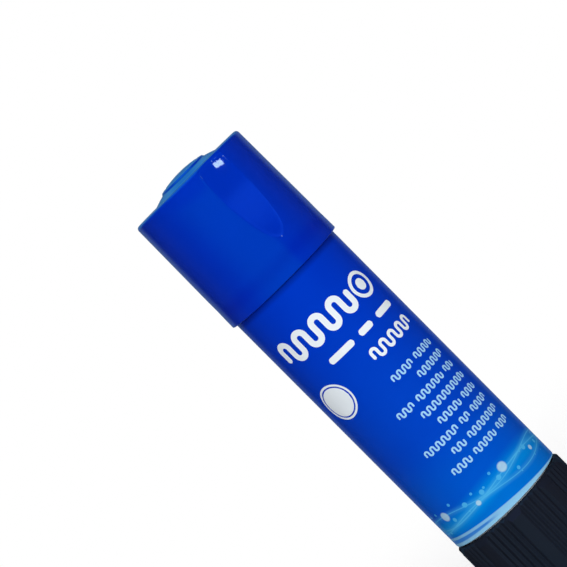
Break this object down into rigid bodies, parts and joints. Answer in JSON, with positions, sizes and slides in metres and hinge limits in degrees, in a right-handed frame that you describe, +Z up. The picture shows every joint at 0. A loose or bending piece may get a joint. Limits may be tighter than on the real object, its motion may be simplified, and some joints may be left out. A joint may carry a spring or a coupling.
{
  "type": "glue stick",
  "caption": "Capped twist-up glue stick: turning the grooved knob drives a left-hand screw that lifts the glue out of a labelled tube; pull-off cap with thumb scoops.",
  "frame": {"origin": "centre of the knob's standing rim, on the surface it stands on", "axes": "+Z up along the stick's axis, from the knob to the cap; -Y out of the label's front; +X to the right of the label's front"},
  "size_m": [0.0256, 0.0256, 0.0986],
  "materials": {
    "barrel_plastic": "bluish white moulded polypropylene, satin gloss",
    "label_print": "glossy printed film sleeve, deep blue with a pale band at the foot",
    "knob_plastic": "charcoal black moulded plastic, satin",
    "spindle_plastic": "natural white moulded plastic",
    "carrier_plastic": "natural white moulded plastic",
    "glue": "waxy off-white glue, slightly translucent",
    "cap_plastic": "glossy moulded polypropylene, deep blue",
    "seal_plastic": "soft white moulded polyethylene"
  },
  "bodies": {
    "barrel": {"barrel": "barrel_plastic", "label": "label_print"},
    "knob": {"twist_knob": "knob_plastic", "spindle": "spindle_plastic"},
    "carrier": {"carrier": "carrier_plastic", "glue_stick": "glue"},
    "cap": {"cap_shell": "cap_plastic", "cap_seal": "seal_plastic"}
  },
  "joints": [
    {"name": "knob_twist", "type": "hinge", "parent": "barrel", "child": "knob", "pos_m": [0, 0, 0], "axis": [0, 0, 1], "range_deg": [0, 3600]},
    {"name": "carrier_lift", "type": "slide", "parent": "barrel", "child": "carrier", "axis": [0, 0, 1], "range_m": [0, 0.06]},
    {"name": "cap_pull", "type": "slide", "parent": "carrier", "child": "cap", "axis": [0, 0, 1], "range_m": [0, 0.045]}
  ],
  "couplings": [
    {"joint": "knob_twist", "follows": "carrier_lift", "rad_per_m": 1047.2}
  ]
}
